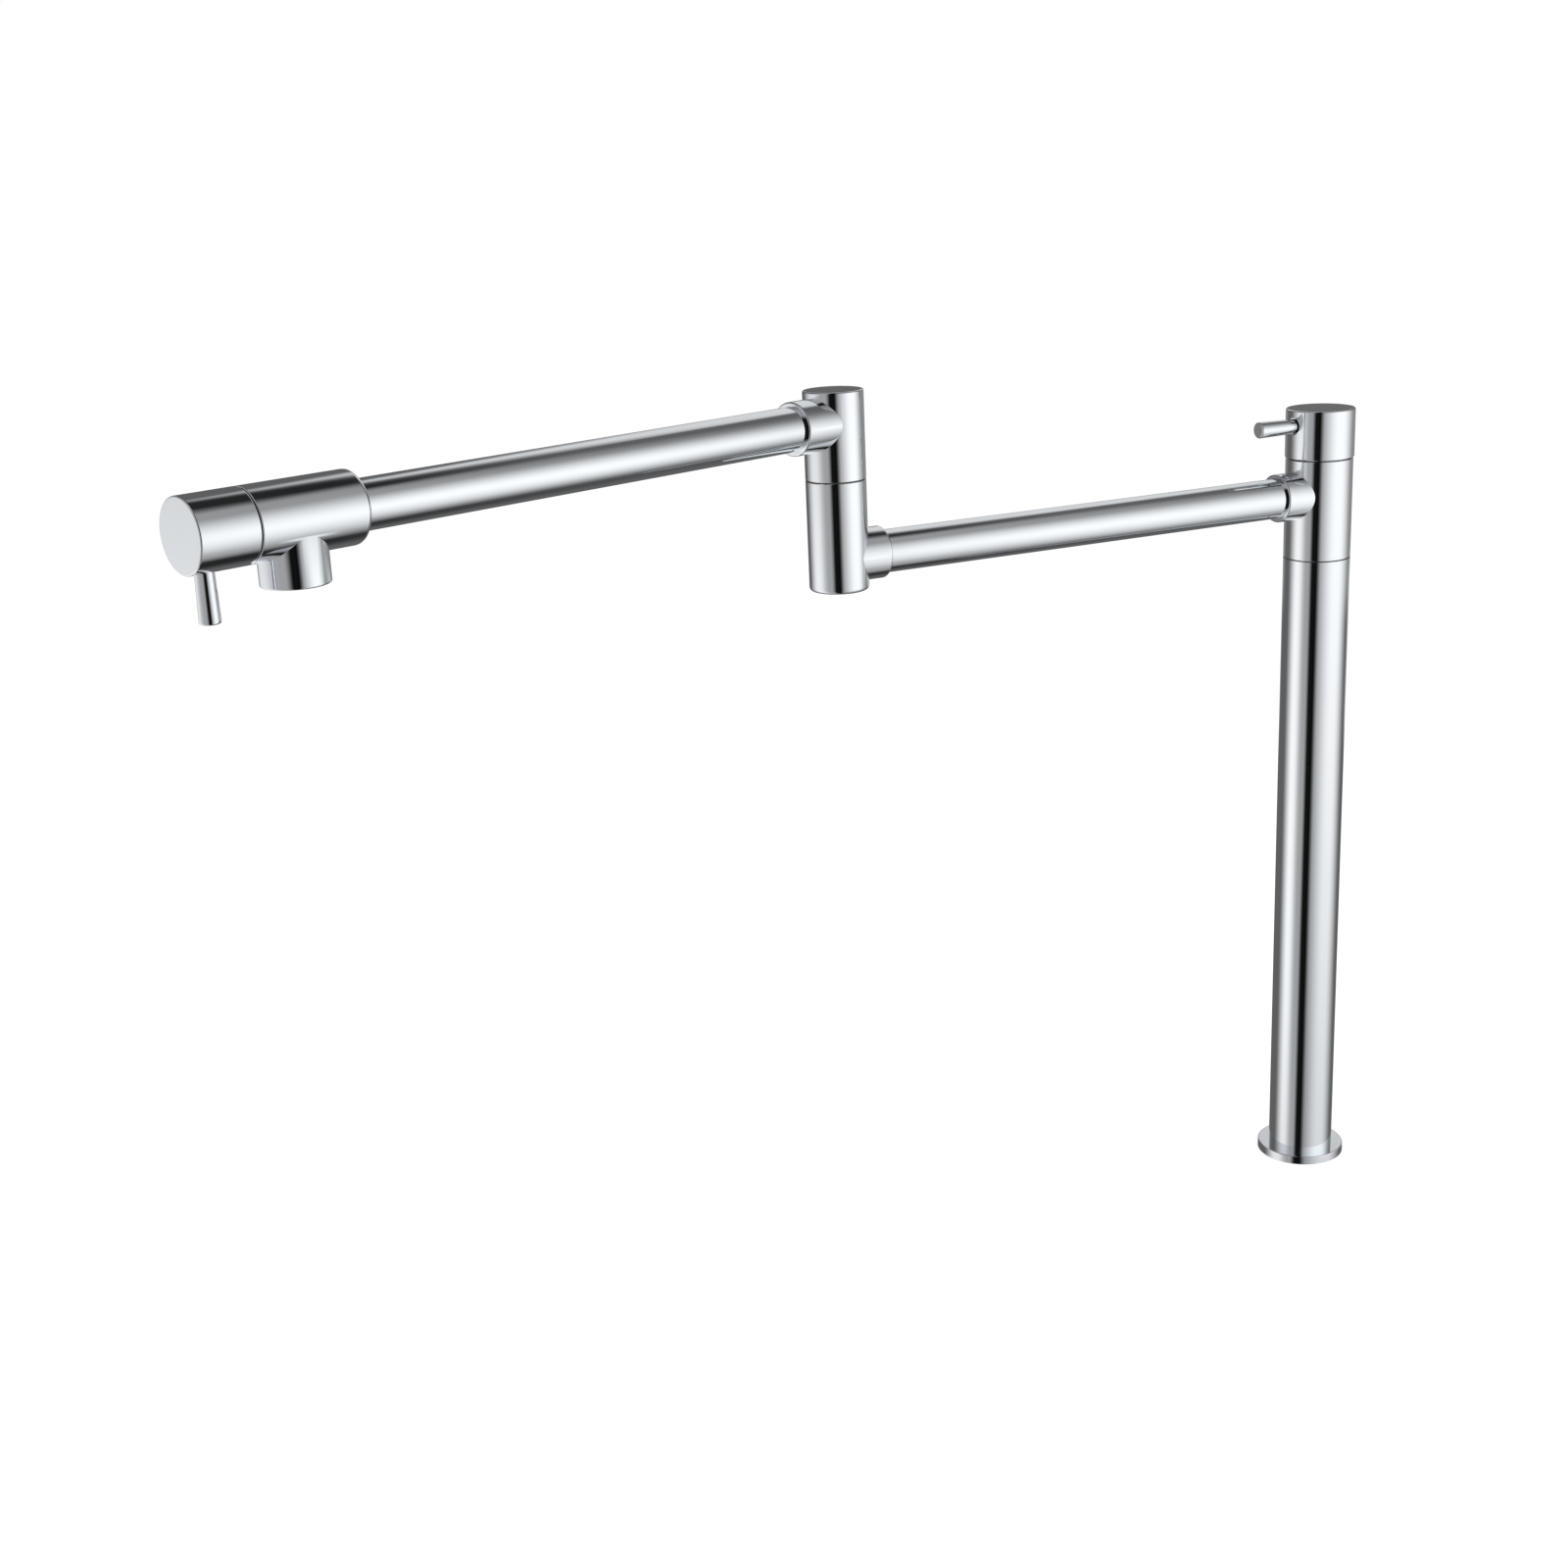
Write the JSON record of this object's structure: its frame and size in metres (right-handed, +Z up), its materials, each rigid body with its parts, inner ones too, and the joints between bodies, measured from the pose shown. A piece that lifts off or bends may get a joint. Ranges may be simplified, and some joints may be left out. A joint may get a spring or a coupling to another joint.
{
  "type": "deck-mounted folding pot filler tap",
  "caption": "Deck-mounted folding tap: tall round column, two tubular arms joined by an elbow swivel, a valve with a lever on the column and another at the spout.",
  "frame": {"origin": "centre of the flange's underside, on the worktop, on the column's axis", "axes": "+Z up along the column; at rest the lower arm points towards -X and the upper arm is turned 19 degrees from it about +Z, so it leans towards -Y"},
  "size_m": [0.6842, 0.1602, 0.4943],
  "materials": {
    "chrome": "polished chrome plate",
    "brass": "machined brass",
    "seal_rubber": "smooth black rubber",
    "slip_plastic": "dark low-friction plastic",
    "ceramic": "lapped white ceramic",
    "screw_steel": "stainless steel",
    "aerator_plastic": "white moulded plastic"
  },
  "bodies": {
    "column": {"base_flange": "chrome", "deck_seal": "seal_rubber", "base_hub": "brass", "column_tube": "chrome", "column_spindle": "brass", "column_ring_lower": "seal_rubber", "column_ring_upper": "seal_rubber", "column_washer": "slip_plastic"},
    "lower_arm": {"tee_body": "chrome", "tee_lock_screw": "screw_steel", "lower_arm_tube": "chrome", "elbow_lower": "chrome", "elbow_spindle": "brass", "elbow_ring_lower": "seal_rubber", "elbow_ring_upper": "seal_rubber", "elbow_washer": "slip_plastic", "column_valve_housing": "brass", "column_valve_seat_ring": "seal_rubber", "column_valve_fixed_disc": "ceramic"},
    "top_handle": {"column_valve_turning_disc": "ceramic", "column_valve_stem": "brass", "column_valve_stem_ring": "seal_rubber", "column_valve_clip": "screw_steel", "top_cap": "chrome", "top_grub_screw": "screw_steel", "top_lever": "chrome"},
    "upper_arm": {"elbow_upper": "chrome", "elbow_lock_screw": "screw_steel", "upper_arm_tube": "chrome", "end_valve_body": "chrome", "end_valve_housing": "brass", "end_valve_seat_ring": "seal_rubber", "end_valve_fixed_disc": "ceramic", "aerator_washer": "seal_rubber", "aerator_ring": "chrome", "aerator_core": "aerator_plastic", "aerator_screen": "screw_steel"},
    "end_handle": {"end_valve_turning_disc": "ceramic", "end_valve_stem": "brass", "end_valve_stem_ring": "seal_rubber", "end_valve_clip": "screw_steel", "end_cap": "chrome", "end_grub_screw": "screw_steel", "end_lever": "chrome"}
  },
  "joints": [
    {"name": "column_swivel", "type": "hinge", "parent": "column", "child": "lower_arm", "pos_m": [0, 0, 0.38], "axis": [0, 0, 1], "continuous": true},
    {"name": "top_lever_turn", "type": "hinge", "parent": "lower_arm", "child": "top_handle", "pos_m": [0, 0, 0.4485], "axis": [0, 0, 1], "range_deg": [0, 90]},
    {"name": "elbow_swivel", "type": "hinge", "parent": "lower_arm", "child": "upper_arm", "pos_m": [-0.306, 0, 0.455], "axis": [0, 0, 1], "range_deg": [-184, 146]},
    {"name": "end_lever_turn", "type": "hinge", "parent": "upper_arm", "child": "end_handle", "pos_m": [-0.62748, -0.11069, 0.4779], "axis": [-0.9455, -0.3256, 0], "range_deg": [0, 90]}
  ]
}
